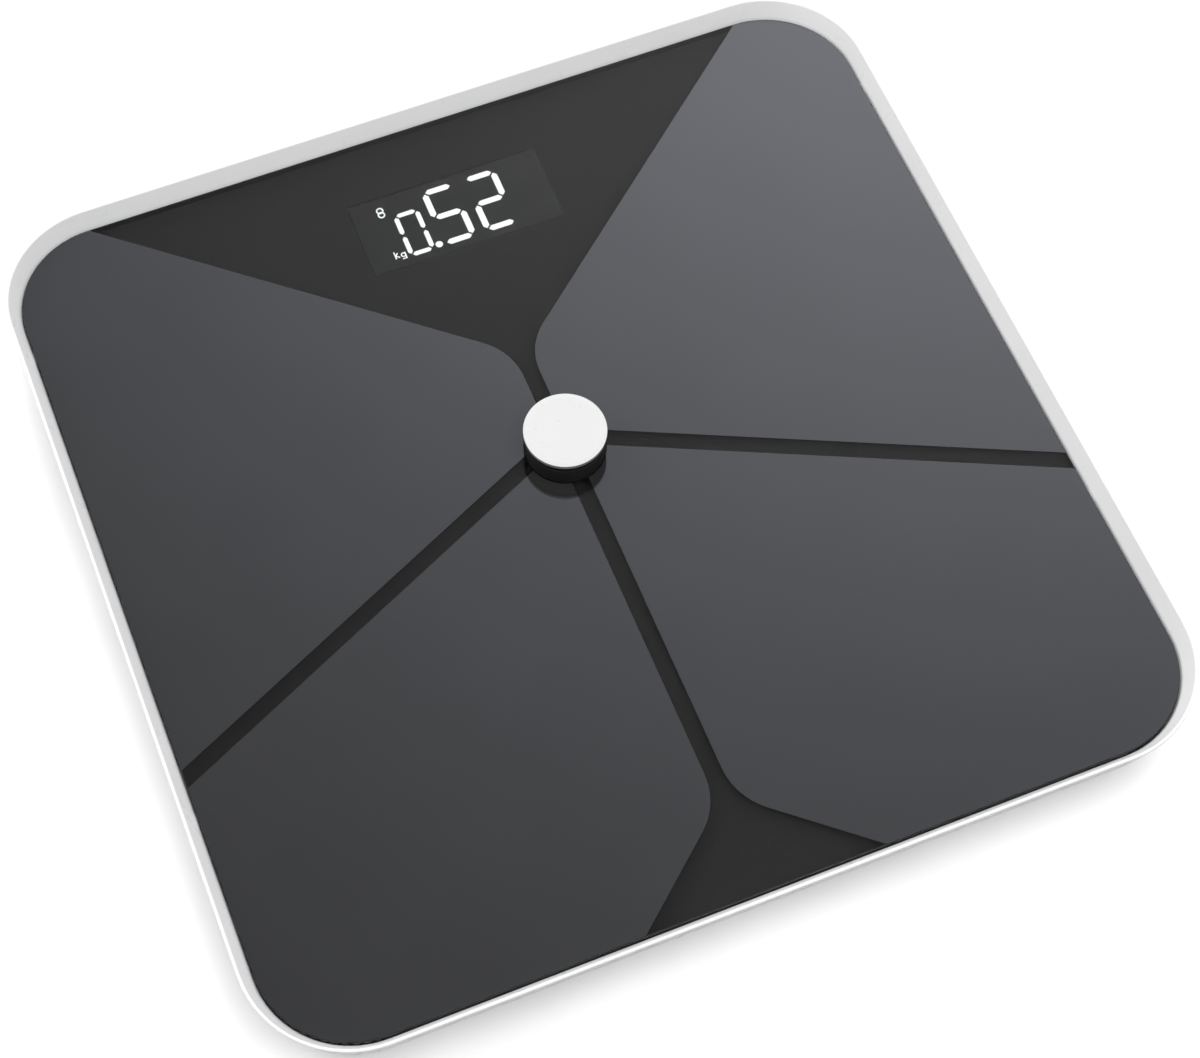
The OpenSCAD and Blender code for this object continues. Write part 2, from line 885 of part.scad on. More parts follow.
cell_holder(BACK_RIGHT);  // cell_holder_back_right
cell_holder(FRONT_LEFT);  // cell_holder_front_left
cell_holder(FRONT_RIGHT);  // cell_holder_front_right
foot_cup(BACK_LEFT);  // foot_cup_back_left
foot_cup(BACK_RIGHT);  // foot_cup_back_right
foot_cup(FRONT_LEFT);  // foot_cup_front_left
foot_cup(FRONT_RIGHT);  // foot_cup_front_right
foot_pad(BACK_LEFT);  // foot_pad_back_left
foot_pad(BACK_RIGHT);  // foot_pad_back_right
foot_pad(FRONT_LEFT);  // foot_pad_front_left
foot_pad(FRONT_RIGHT);  // foot_pad_front_right
foot_bush(BACK_LEFT);  // foot_bush_back_left
foot_bush(BACK_RIGHT);  // foot_bush_back_right
foot_bush(FRONT_LEFT);  // foot_bush_front_left
foot_bush(FRONT_RIGHT);  // foot_bush_front_right
strain_gauges();
holder_screws();
case_screws();
wiring();
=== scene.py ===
"""Digital bathroom scale: materials, finer pieces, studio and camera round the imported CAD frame."""
import math

import bmesh
import bpy
from mathutils import Matrix, Vector

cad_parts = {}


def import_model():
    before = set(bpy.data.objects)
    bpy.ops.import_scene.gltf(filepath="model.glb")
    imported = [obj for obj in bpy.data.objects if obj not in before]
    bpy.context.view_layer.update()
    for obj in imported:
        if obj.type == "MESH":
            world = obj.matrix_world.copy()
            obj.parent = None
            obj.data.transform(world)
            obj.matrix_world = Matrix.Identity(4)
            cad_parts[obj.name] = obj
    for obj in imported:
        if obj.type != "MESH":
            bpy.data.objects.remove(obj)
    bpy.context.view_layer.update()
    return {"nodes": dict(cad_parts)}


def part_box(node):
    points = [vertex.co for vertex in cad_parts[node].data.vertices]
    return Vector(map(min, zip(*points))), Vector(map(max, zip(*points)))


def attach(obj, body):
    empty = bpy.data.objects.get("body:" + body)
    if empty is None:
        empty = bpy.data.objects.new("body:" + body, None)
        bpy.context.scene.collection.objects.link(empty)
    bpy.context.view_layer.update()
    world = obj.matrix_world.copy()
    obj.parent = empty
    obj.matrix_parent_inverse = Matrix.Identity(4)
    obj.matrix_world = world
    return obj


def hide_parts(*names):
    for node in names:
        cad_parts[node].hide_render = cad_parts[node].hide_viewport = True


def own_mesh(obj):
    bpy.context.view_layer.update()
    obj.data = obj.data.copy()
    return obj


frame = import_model()
nodes = frame["nodes"]

MM = 0.001
SIDES = ("back_left", "back_right", "front_left", "front_right")

# Places taken from the frame, and a few given sizes, in metres
GLASS_LOW, GLASS_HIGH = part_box("glass_platform")
GLASS_CORNER_R = 28 * MM  # as in the CAD
CAP_LOW, CAP_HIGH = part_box("button_cap")
BUTTON = Vector(((CAP_LOW.x + CAP_HIGH.x) / 2, (CAP_LOW.y + CAP_HIGH.y) / 2, 0))
INTO_GLASS = 0.03 * MM  # films under the glass are pressed into it by a hair, so that no air is between
CELLS = {"battery_1": 1, "battery_2": -1, "battery_3": 1}  # which way each cell's nub points along x


# ---------- materials ----------

SOCKETS = {"ior": "IOR"}  # socket names that are not in title case


class Paint:
    """One material: its Principled shader and the procedural nodes that feed it."""

    def __init__(self, name, color, roughness, **sockets):
        self.material = bpy.data.materials.new(name)
        self.material.use_nodes = True
        self.tree = self.material.node_tree
        self.shader = self.tree.nodes["Principled BSDF"]
        self.color = color
        self.roughness = roughness
        self.set(base_color=(*color, 1), roughness=roughness, **sockets)
        self.coordinates = self.tree.nodes.new("ShaderNodeTexCoord").outputs["Object"]
        self.last_bump = None

    def set(self, **sockets):
        """Plain values on the shader's own sockets."""
        for name, value in sockets.items():
            self.shader.inputs[SOCKETS.get(name, name.replace("_", " ").title())].default_value = value

    def node(self, kind, inputs=(), **settings):
        """A node with its settings; an input is a plain value or another node's output."""
        made = self.tree.nodes.new(kind)
        for name, value in settings.items():
            setattr(made, name, value)
        for name, value in dict(inputs).items():
            if isinstance(value, bpy.types.NodeSocket):
                self.tree.links.new(value, made.inputs[name])
            else:
                made.inputs[name].default_value = value
        return made

    def stretched(self, stretch):
        """Object coordinates, scaled along each axis."""
        return self.node("ShaderNodeMapping", {"Vector": self.coordinates, "Scale": stretch}).outputs[0]

    def noise(self, size, detail=3, stretch=None):
        """Noise whose blotches are about size metres across."""
        vector = self.stretched(stretch) if stretch else self.coordinates
        made = self.node("ShaderNodeTexNoise", {"Vector": vector, "Scale": 1 / size, "Detail": detail})
        return made.outputs[0]

    def cells(self, size, feature="F1"):
        """Distance within cells about size metres across."""
        inputs = {"Vector": self.coordinates, "Scale": 1 / size}
        return self.node("ShaderNodeTexVoronoi", inputs, feature=feature).outputs["Distance"]

    def mapped(self, value, low, high, start=0.3, end=0.7):
        """The value from start to end spread from low to high."""
        made = self.node("ShaderNodeMapRange", {
            "Value": value, "From Min": start, "From Max": end, "To Min": low, "To Max": high})
        return made.outputs[0]

    def blend(self, share, first, second):
        """Colour between first and second."""
        made = self.node("ShaderNodeMix", data_type="RGBA")
        self.tree.links.new(share, made.inputs["Factor"])
        for socket, value in ((made.inputs[6], first), (made.inputs[7], second)):
            if isinstance(value, bpy.types.NodeSocket):
                self.tree.links.new(value, socket)
            else:
                socket.default_value = (*value, 1)
        return made.outputs[2]

    def tint(self, share, spread=0.06):
        """Colour that wanders round the material's own by spread."""
        dark = [c * (1 - spread) for c in self.color]
        light = [min(1, c * (1 + spread)) for c in self.color]
        return self.link("Base Color", self.blend(self.mapped(share, 0, 1), dark, light))

    def gloss(self, share, spread=0.15):
        """Roughness that wanders round the material's own by spread."""
        low, high = self.roughness * (1 - spread), self.roughness * (1 + spread)
        return self.link("Roughness", self.mapped(share, low, high))

    def bump(self, height, depth):
        """Relief of depth metres, on top of any made before."""
        inputs = {"Height": height, "Distance": depth}
        if self.last_bump:
            inputs["Normal"] = self.last_bump
        self.last_bump = self.node("ShaderNodeBump", inputs).outputs[0]
        return self.link("Normal", self.last_bump)

    def link(self, socket, output):
        """Feeds one of the shader's sockets."""
        self.tree.links.new(output, self.shader.inputs[socket])
        return self


def moulded(name, color, roughness, grain, depth, **sockets):
    """Moulded plastic or rubber: a fine grain, with faint blotches of colour and gloss."""
    paint = Paint(name, color, roughness, **sockets)
    paint.tint(paint.noise(40 * MM), 0.025)
    paint.gloss(paint.noise(5 * MM), 0.12)
    paint.bump(paint.noise(grain), depth)
    return paint


def metal(name, color, roughness, grain, depth, stretch=(1, 1, 1)):
    """Bare metal: brushed along an axis where stretch is uneven."""
    paint = Paint(name, color, roughness, metallic=1.0)
    marks = paint.noise(grain, detail=4, stretch=stretch)
    paint.tint(paint.noise(6 * MM), 0.05)
    paint.gloss(marks, 0.25)
    paint.bump(marks, depth)
    return paint


def tempered_glass():
    paint = Paint("tempered_glass", (0.97, 0.99, 0.985), 0.0, ior=1.5, transmission_weight=1.0)
    paint.tint(paint.noise(60 * MM), 0.005)
    return paint


def black_ink():
    """Screen-printed ink, with the faint pores of the print."""
    paint = Paint("black_ink", (0.034, 0.0333, 0.0333), 0.6, ior=1.05)
    paint.tint(paint.noise(0.8 * MM), 0.1)
    paint.bump(paint.cells(0.3 * MM), 0.004 * MM)
    return paint


def conductive_film():
    """Dark mirror-like coating of the electrodes."""
    bluish = (0.87, 0.9, 1.0, 1)
    paint = Paint("conductive_film", (0.0205, 0.0205, 0.021), 0.04, ior=2.65, specular_tint=bluish)
    paint.tint(paint.noise(30 * MM), 0.05)
    paint.gloss(paint.noise(12 * MM), 0.3)
    paint.bump(paint.noise(90 * MM, detail=1), 0.02 * MM)
    return paint


def foam():
    """Closed-cell foam."""
    paint = Paint("foam", (0.5, 0.5, 0.5), 0.85)
    paint.tint(paint.cells(0.5 * MM), 0.12)
    paint.bump(paint.cells(0.45 * MM), 0.12 * MM)
    return paint


def foil():
    """Conductive foil with creases."""
    paint = metal("foil", (0.8, 0.8, 0.8), 0.25, 1.5 * MM, 0.03 * MM)
    paint.bump(paint.cells(2.5 * MM), 0.05 * MM)
    return paint


def smoked_film():
    """Smoked film over the digits, bonded to the glass, so it bends no light of its own."""
    paint = Paint("smoked_film", (0.9, 0.9, 0.9), 0.02, ior=1.01, transmission_weight=1.0)
    paint.tint(paint.noise(4 * MM), 0.04)
    return paint


def lit_led():
    """Lit segment; its light is even, so only the gloss and the base colour wander."""
    paint = Paint("lit_led", (0.3, 0.3, 0.3), 0.5, emission_color=(1, 1, 1, 1), emission_strength=1.0)
    paint.gloss(paint.noise(1 * MM), 0.2)
    paint.tint(paint.noise(0.4 * MM), 0.03)
    return paint


def circuit_board():
    """Solder mask over copper tracks, with glass weave beneath."""
    paint = Paint("circuit_board", (0.02, 0.13, 0.05), 0.3, coat_weight=0.4)
    tracks = paint.node("ShaderNodeTexBrick", {
        "Vector": paint.coordinates, "Scale": 1 / (9 * MM), "Mortar Size": 0.05, "Brick Width": 0.7})
    copper = paint.blend(tracks.outputs["Fac"], (0.02, 0.13, 0.05), (0.05, 0.24, 0.09))
    paint.link("Base Color", copper)
    paint.bump(tracks.outputs["Fac"], 0.03 * MM)
    paint.bump(paint.noise(0.5 * MM), 0.01 * MM)
    return paint


def battery_wrap():
    """Printed metallic sleeve: dark body, with thin lighter rings."""
    paint = Paint("battery_wrap", (0.05, 0.07, 0.12), 0.25, metallic=0.6, coat_weight=0.5)
    rings = paint.node("ShaderNodeTexWave", {"Vector": paint.coordinates, "Scale": 8.0, "Distortion": 0.0})
    share = paint.mapped(rings.outputs["Fac"], 0, 1, 0.93, 0.97)
    paint.link("Base Color", paint.blend(share, (0.05, 0.07, 0.12), (0.7, 0.62, 0.45)))
    paint.bump(paint.noise(2 * MM), 0.01 * MM)
    return paint


def cap_white():
    """Smooth lacquered plastic."""
    return moulded("cap_white", (0.55, 0.55, 0.55), 0.3, 0.3 * MM, 0.0015 * MM, coat_weight=0.4)


def silicone():
    """Milky soft rubber."""
    return moulded("silicone", (0.6, 0.6, 0.58), 0.4, 0.6 * MM, 0.004 * MM, subsurface_weight=0.2)


def display_black():
    """Plastic of the display's housing, as dark as the ink beside it."""
    return moulded("display_black", (0.026, 0.026, 0.027), 0.6, 0.3 * MM, 0.006 * MM, ior=1.05)


def matt_black(name, color):
    """Dull black plastic round the button, with little gloss of its own; on the cap's lower edge and
    underside the black is painted shade under the cap.
    """
    return moulded(name, color, 0.55, 0.3 * MM, 0.004 * MM, ior=1.2)


def gauge_foil():
    """Strain gauge: amber film over a metal grid."""
    paint = Paint("gauge_foil", (0.55, 0.3, 0.06), 0.3)
    lines = paint.node("ShaderNodeTexWave", {"Vector": paint.coordinates, "Scale": 400.0, "Distortion": 0.0})
    share = paint.mapped(lines.outputs["Fac"], 0, 1, 0.45, 0.55)
    paint.link("Base Color", paint.blend(share, (0.55, 0.3, 0.06), (0.35, 0.3, 0.25)))
    paint.bump(lines.outputs["Fac"], 0.01 * MM)
    return paint


# Finishes of the record's material slots
FINISHES = {
    "white_abs": lambda: moulded("white_abs", (0.74, 0.74, 0.735), 0.42, 0.45 * MM, 0.012 * MM),
    "rim_white": lambda: moulded("rim_white", (0.72, 0.72, 0.725), 0.3, 0.3 * MM, 0.002 * MM, ior=1.35),
    "tempered_glass": tempered_glass,
    "black_ink": black_ink,
    "foam": foam,
    "conductive_film": conductive_film,
    "foil": foil,
    "smoked_film": smoked_film,
    "black_abs": lambda: moulded("black_abs", (0.012, 0.012, 0.0125), 0.45, 0.3 * MM, 0.006 * MM),
    "lit_led": lit_led,
    "circuit_board": circuit_board,
    "chip_black": lambda: moulded("chip_black", (0.03, 0.03, 0.032), 0.5, 0.15 * MM, 0.008 * MM),
    "zinc_steel": lambda: metal("zinc_steel", (0.62, 0.63, 0.66), 0.3, 0.4 * MM, 0.01 * MM),
    "switch_brown": lambda: moulded("switch_brown", (0.2, 0.09, 0.04), 0.4, 0.3 * MM, 0.005 * MM),
    "cap_white": cap_white,
    "grey_abs": lambda: moulded("grey_abs", (0.32, 0.325, 0.33), 0.45, 0.4 * MM, 0.01 * MM),
    "spring_steel": lambda: metal("spring_steel", (0.72, 0.71, 0.7), 0.22, 0.3 * MM, 0.004 * MM),
    "black_rubber": lambda: moulded("black_rubber", (0.02, 0.02, 0.02), 0.65, 0.3 * MM, 0.01 * MM),
    "foot_rubber": lambda: moulded("foot_rubber", (0.075, 0.076, 0.08), 0.75, 0.25 * MM, 0.02 * MM),
    "silicone": silicone,
    "battery_wrap": battery_wrap,
    "cell_steel": lambda: metal("cell_steel", (0.58, 0.58, 0.59), 0.34, 0.25 * MM, 0.008 * MM, (1, 0.03, 1)),
    "holder_abs": lambda: moulded("holder_abs", (0.7, 0.69, 0.64), 0.45, 0.4 * MM, 0.01 * MM),
    "gauge_foil": gauge_foil,
    "wire_pvc": lambda: moulded("wire_pvc", (0.4, 0.02, 0.015), 0.35, 0.4 * MM, 0.004 * MM),
}

# Finishes of single pieces or faces, beside the record's slots
DETAILS = {
    "display_black": display_black,
    # the cap's lower edge and underside: near-black painted shade of the gap under the cap
    "cap_shade_black": lambda: matt_black("cap_shade_black", (0.007, 0.007, 0.0072)),
    "collar_black": lambda: matt_black("collar_black", (0.015, 0.015, 0.0153)),
    "cap_band": lambda: moulded("cap_band", (0.2, 0.2, 0.203), 0.35, 0.3 * MM, 0.001 * MM),
    "battery_band": lambda: metal("battery_band", (0.75, 0.5, 0.2), 0.25, 0.5 * MM, 0.002 * MM),
    "gilt": lambda: metal("gilt", (0.85, 0.62, 0.28), 0.2, 0.3 * MM, 0.002 * MM),
    "plug_nylon": lambda: moulded("plug_nylon", (0.75, 0.74, 0.68), 0.45, 0.3 * MM, 0.004 * MM),
    "red_wire": lambda: moulded("red_wire", (0.5, 0.015, 0.012), 0.35, 0.4 * MM, 0.003 * MM),
    "black_wire": lambda: moulded("black_wire", (0.012, 0.012, 0.012), 0.35, 0.4 * MM, 0.003 * MM),
    "white_wire": lambda: moulded("white_wire", (0.75, 0.75, 0.72), 0.35, 0.4 * MM, 0.003 * MM),
}


def paint_frame():
    """Every CAD node gets the finish of its record slot; returns all finishes by name."""
    made = {name: finish().material for name, finish in (FINISHES | DETAILS).items()}
    for node in nodes.values():
        slot = node.material_slots[0].material.name.split(".")[0]
        node.material_slots[0].material = made[slot]
    nodes["display_housing"].material_slots[0].material = made["display_black"]
    return made


# ---------- shapes ----------

def arc(centre, radius, start, end, steps=6):
    """Points of an arc, with angles in degrees."""
    angles = [math.radians(start + (end - start) * i / steps) for i in range(steps + 1)]
    return [(centre[0] + radius * math.cos(a), centre[1] + radius * math.sin(a)) for a in angles]


def around(section, corner=0.0, steps=96):
    """Ring with a closed section of (radius, height) points, carried round a circle or a rounded square
    whose corner arcs are centred at corner along both axes."""
    stations = []
    quarter = steps // 4
    for side, (x, y) in enumerate(((1, 1), (-1, 1), (-1, -1), (1, -1))):
        for i in range(quarter + 1 if corner else quarter):
            stations.append((x * corner, y * corner, math.radians(90 * side + 90 * i / quarter)))
    vertices = [(x + r * math.cos(a), y + r * math.sin(a), z) for x, y, a in stations for r, z in section]
    n = len(section)
    faces = []
    for i in range(len(stations)):
        here, there = i * n, (i + 1) % len(stations) * n
        for k in range(n):
            faces.append((here + k, there + k, there + (k + 1) % n, here + (k + 1) % n))
    return vertices, faces


def tube(points, radius, sides=10):
    """Round tube along a line of points, closed at both ends."""
    points = [Vector(p) for p in points]
    last = len(points) - 1
    vertices = []
    for i, point in enumerate(points):
        along = (points[min(i + 1, last)] - points[max(i - 1, 0)]).normalized()
        side = along.cross(Vector((0, 0, 1))).normalized()
        up = side.cross(along)
        for k in range(sides):
            a = 2 * math.pi * k / sides
            vertices.append(point + radius * (math.cos(a) * side + math.sin(a) * up))
    faces = [tuple(range(sides)), tuple(last * sides + k for k in reversed(range(sides)))]
    for i in range(last):
        for k in range(sides):
            n = (k + 1) % sides
            faces.append((i * sides + k, (i + 1) * sides + k, (i + 1) * sides + n, i * sides + n))
    return vertices, faces


def joined(shapes):
    """Several shapes as one."""
    vertices, faces = [], []
    for more, sides in shapes:
        faces += [tuple(len(vertices) + i for i in face) for face in sides]
        vertices += more
    return vertices, faces


def moved(shape, place):
    """A shape put in place by a matrix or a vector."""
    if isinstance(place, Vector):
        place = Matrix.Translation(place)
    return [place @ Vector(v) for v in shape[0]], shape[1]


def smooth_route(points, rounds=3):
    """A line of points with its corners cut off round by round."""
    for _ in range(rounds):
        cut = [points[0]]
        for a, b in zip(points, points[1:]):
            cut += [a.lerp(b, 0.25), a.lerp(b, 0.75)]
        points = cut + [points[-1]]
    return points


# ---------- pieces ----------

def piece(name, shape, finishes, body, replaced, pick=None):
    """Makes the mesh, shades its soft edges smooth and hands it to its CAD body in place of a node.
    Where it has several finishes, pick gives a face's own one by the face's centre."""
    mesh = bpy.data.meshes.new(name)
    mesh.from_pydata([tuple(v) for v in shape[0]], [], shape[1])
    cleaned = bmesh.new()
    cleaned.from_mesh(mesh)
    bmesh.ops.remove_doubles(cleaned, verts=cleaned.verts, dist=1e-6)
    bmesh.ops.dissolve_degenerate(cleaned, edges=cleaned.edges, dist=1e-6)
    bmesh.ops.recalc_face_normals(cleaned, faces=cleaned.faces)
    for face in cleaned.faces:
        face.smooth = True
        if pick:
            face.material_index = finishes.index(pick(face.calc_center_median()))
    cleaned.to_mesh(mesh)
    cleaned.free()
    mesh.set_sharp_from_angle(angle=math.radians(40))
    for finish in finishes:
        mesh.materials.append(materials[finish])
    made = bpy.data.objects.new(name, mesh)
    bpy.context.scene.collection.objects.link(made)
    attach(made, body)
    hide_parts(replaced)
    return made


def cad_shape(node, up=0.0):
    """Shape of a CAD node, moved up."""
    mesh = nodes[node].data
    return [v.co + Vector((0, 0, up)) for v in mesh.vertices], [tuple(p.vertices) for p in mesh.polygons]


def ink():
    """Black ink under the glass, carried up its side walls to just below the glass's rounded edge."""
    thick, gap, bare_edge, overlap = 0.04 * MM, 0.02 * MM, 0.32 * MM, 1.2 * MM
    outer, low, top = GLASS_CORNER_R - gap, GLASS_LOW.z + gap, GLASS_HIGH.z - bare_edge
    inner, foot = outer - thick, outer - overlap
    section = [(foot, low), (outer, low), (outer, top), (inner, top)]
    section += [(inner, low + thick), (foot, low + thick)]
    walls = around(section, GLASS_HIGH.x - GLASS_CORNER_R)
    shape = joined([cad_shape("glass_print", INTO_GLASS), walls])
    piece("ink_print", shape, ["black_ink"], "tray", "glass_print")


def window_film():
    """Film over the digits."""
    shape = cad_shape("display_window", INTO_GLASS)
    piece("window_film", shape, ["smoked_film"], "tray", "display_window")


def cap():
    """White disc over a thin grey band, with its lower edge and underside painted near-black as shade under
    the cap, and a fine groove round the top.
    """
    r, low, high = CAP_HIGH.x - BUTTON.x, CAP_LOW.z, CAP_HIGH.z
    edge, seat, groove_w, groove_depth, band = 0.15 * MM, 0.35 * MM, 0.1 * MM, 0.03 * MM, 1.3 * MM
    band_low = high - band
    groove_floor = high - groove_depth
    section = [(0, low), (r - seat, low)]
    section += arc((r - edge, low + edge), edge, -90, 0)
    section += [(r, band_low)]
    section += arc((r - edge, high - edge), edge, 0, 90)
    section += [(r - seat, groove_floor), (r - seat - groove_w, groove_floor)]
    section += [(r - seat - 2 * groove_w, high), (r - seat - MM, high), (0, high)]

    def pick(centre):
        if centre.z > high - edge:
            return "cap_white"
        # below the band the cap is painted near-black, as shade under it
        return "cap_band" if centre.z > band_low else "cap_shade_black"

    shape = moved(around(section), BUTTON)
    finishes = ["cap_white", "cap_band", "cap_shade_black"]
    piece("cap_disc", shape, finishes, "power_button", "button_cap", pick)


def collar():
    """Black collar with softened edges and a threaded tube through the glass."""
    low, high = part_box("button_collar")
    r = high.x - BUTTON.x
    bore, tube_r, well_r, edge = 3.9 * MM, 8 * MM, 9.5 * MM, 0.4 * MM
    flange, well_floor = GLASS_HIGH.z + 0.4 * MM, GLASS_HIGH.z + 2.4 * MM
    pitch, thread = 0.75 * MM, 0.35 * MM
    section = [(bore, low.z), (tube_r - edge, low.z)]
    for turn in range(1, round((GLASS_LOW.z - low.z) / pitch) - 1):
        z = low.z + turn * pitch
        section += [(tube_r, z), (tube_r - thread, z + pitch / 2)]
    section += [(tube_r, GLASS_LOW.z), (tube_r, flange)]
    section += arc((r - edge / 2, flange + edge / 2), edge / 2, -90, 0, 3)
    section += arc((r - edge, high.z - edge), edge, 0, 90)
    section += arc((well_r + edge / 2, high.z - edge / 2), edge / 2, 90, 180, 3)
    section += [(well_r, well_floor), (bore, well_floor)]
    shape = moved(around(section), BUTTON)
    piece("collar_ring", shape, ["collar_black"], "tray", "button_collar")


def coil(r0, r1, length, wire, turns):
    """Spring wire along z with closed end turns; its radius runs from r0 to r1."""
    steps = int(turns * 28)
    closed = 0.75 / turns
    points = []
    for i in range(steps + 1):
        t = i / steps
        rise = min(1, max(0, (t - closed) / (1 - 2 * closed)))
        crawl = (min(t, closed) + max(0, t - 1 + closed)) / (2 * closed)
        z = wire + 2 * wire * crawl + (length - 4 * wire) * rise
        r = r0 + (r1 - r0) * t
        a = 2 * math.pi * turns * t
        points.append(Vector((r * math.cos(a), r * math.sin(a), z)))
    return tube(points, wire, 8)


def flattened(made):
    """Gives a spring or bush its own copy of its mesh."""
    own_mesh(made)


def button_spring():
    """Coil spring that lifts the button."""
    low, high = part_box("button_spring")
    base = Vector((BUTTON.x, BUTTON.y, low.z))
    radius, wire, length = 5.9 * MM, 0.25 * MM, high.z - low.z
    shape = moved(coil(radius, radius, length, wire, turns=4.5), base)
    made = piece("return_spring", shape, ["spring_steel"], "tray", "button_spring")
    flattened(made)


def foot_bushes():
    """Silicone bushes with rounded sides."""
    bulge = 0.25 * MM
    for side in SIDES:
        low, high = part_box("foot_bush_" + side)
        middle = (low + high) / 2
        r, length = (high.x - low.x) / 2, high.z - low.z
        sides = [(x, z / bulge * length / 2) for x, z in arc((r - bulge, 0), bulge, -90, 90, 8)]
        section = [(0, -length / 2), *sides, (0, length / 2)]
        shape = moved(around(section, steps=48), middle)
        made = piece("bush_" + side, shape, ["silicone"], "tray", "foot_bush_" + side)
        flattened(made)


def along_x(origin, facing):
    """Matrix that turns a shape's z axis to +x, or to -x where facing is -1."""
    return Matrix.Translation(origin) @ Matrix.Rotation(math.radians(90 * facing), 4, "Y")


def batteries():
    """AAA cells: sleeve, crimped shoulder, nub, and a flat steel end with a fine ring in it."""
    nub_r, nub, lip, band, ring = 1.9 * MM, 1.2 * MM, 0.35 * MM, 9 * MM, 0.2 * MM
    finishes = ["battery_wrap", "battery_band", "cell_steel"]
    for name, facing in CELLS.items():
        low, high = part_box(name)
        middle = (low + high) / 2
        end, r = (high.x - low.x) / 2, (high.z - low.z) / 2
        top, ring_r = end - nub, r - 1.1 * MM
        section = [(0, -end), (ring_r - ring, -end), (ring_r, -end + 0.15 * MM), (ring_r + ring, -end)]
        section += arc((r - lip, -end + lip), lip, -90, 0, 4)
        section += [(r, band - end), (r, band - end + 0.2 * MM)]
        section += arc((r - lip, top - lip), lip, 0, 90, 4)
        section += [(r - 0.8 * MM, top - 0.2 * MM), (nub_r + 0.8 * MM, top - 0.2 * MM)]
        section += [(nub_r, top - 0.1 * MM)]
        section += arc((nub_r - 0.3 * MM, end - 0.3 * MM), 0.3 * MM, 0, 90, 3)
        section += [(0, end)]

        def pick(centre):
            if math.hypot(centre.y - middle.y, centre.z - middle.z) < r - 0.3 * MM:
                return "cell_steel"
            along = (centre.x - middle.x) * facing
            return "battery_band" if along < band - end + 0.1 * MM else "battery_wrap"

        shape = moved(around(section, steps=64), along_x(middle, facing))
        piece("sleeved_" + name, shape, finishes, "tray", name, pick)


def battery_springs():
    """Conical springs at the cells' flat ends."""
    low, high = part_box("battery_springs")
    wide, narrow, wire = 3.8 * MM, 2.2 * MM, 0.3 * MM
    shapes = []
    for name, facing in CELLS.items():
        cell_low, cell_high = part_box(name)
        middle = (cell_low + cell_high) / 2
        start, end = (low.x, cell_low.x) if facing > 0 else (high.x, cell_high.x)
        spring = coil(wide, narrow, abs(end - start), wire, turns=4)
        shapes.append(moved(spring, along_x(Vector((start, middle.y, middle.z)), facing)))
    piece("contact_springs", joined(shapes), ["spring_steel"], "tray", "battery_springs")


def close_points(route, z):
    """Route in millimetres as points some 3 mm apart, so that a twist can follow it."""
    corners = [Vector((x * MM, y * MM, z)) for x, y in route]
    points = []
    for a, b in zip(corners, corners[1:]):
        count = max(1, round((b - a).length / (3 * MM)))
        points += [a.lerp(b, i / count) for i in range(count)]
    return points + [corners[-1]]


def strand(points, share):
    """One wire of a twisted lead; share is its part of a turn."""
    spread, radius, lay = 0.42 * MM, 0.36 * MM, 9 * MM
    points = smooth_route(points)
    made, turned = [], share
    for i, point in enumerate(points):
        along = (points[min(i + 1, len(points) - 1)] - points[max(i - 1, 0)]).normalized()
        side = along.cross(Vector((0, 0, 1))).normalized()
        if i:
            turned += (point - points[i - 1]).length / lay
        a = 2 * math.pi * turned
        made.append(point + spread * (math.cos(a) * side + math.sin(a) * side.cross(along)))
    return tube(made, radius, 8)


def wiring():
    """Leads: three twisted wires to each load cell, and single wires to the batteries and the button."""
    low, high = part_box("wiring")
    z = (low.z + high.z) / 2
    back = [(84, 96), (70, 96), (62, 99), (56, 101), (38.5, 101)]
    front = [(84, -96), (70, -96), (63, -94), (60, -88), (60, 76), (58, 86), (52, 91), (38.5, 91)]
    battery_y, button_y, board_y = -47.3, 17, 81.5
    single_r = 0.7 * MM
    singles = {
        "red": [(-21.5, battery_y)],
        "black": [(-18.5, battery_y)],
        "white": [(2.5, button_y), (5.5, button_y)],
    }
    for k, (colour, starts) in enumerate(singles.items()):
        shapes = []
        for route in (back, front):
            for side in (-1, 1):
                shapes.append(strand(close_points([(side * x, y) for x, y in route], z), k / 3))
        for x, y in starts:
            shapes.append(tube(close_points([(x, y), (x, board_y)], z), single_r))
        piece(colour + "_wires", joined(shapes), [colour + "_wire"], "tray", "wiring")


def board_components():
    """Chips, white plugs and gilt contacts on the main board."""
    low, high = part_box("main_board")
    plugs_beyond, plugs_before = 33 * MM, low.y + 9 * MM
    above = high.z - 0.01 * MM

    def pick(centre):
        if centre.z > above:
            return "gilt"
        plug = abs(centre.x) > plugs_beyond or centre.y < plugs_before
        return "plug_nylon" if plug else "chip_black"

    finishes = ["chip_black", "plug_nylon", "gilt"]
    piece("board_components", cad_shape("board_parts"), finishes, "tray", "board_parts", pick)


# ---------- studio ----------

def direction(azimuth, elevation):
    """Unit vector towards a place round the scale; azimuth 0 is in front of it and 90 on its right."""
    a, e = math.radians(azimuth), math.radians(elevation)
    return Vector((math.sin(a) * math.cos(e), -math.cos(a) * math.cos(e), math.sin(e)))


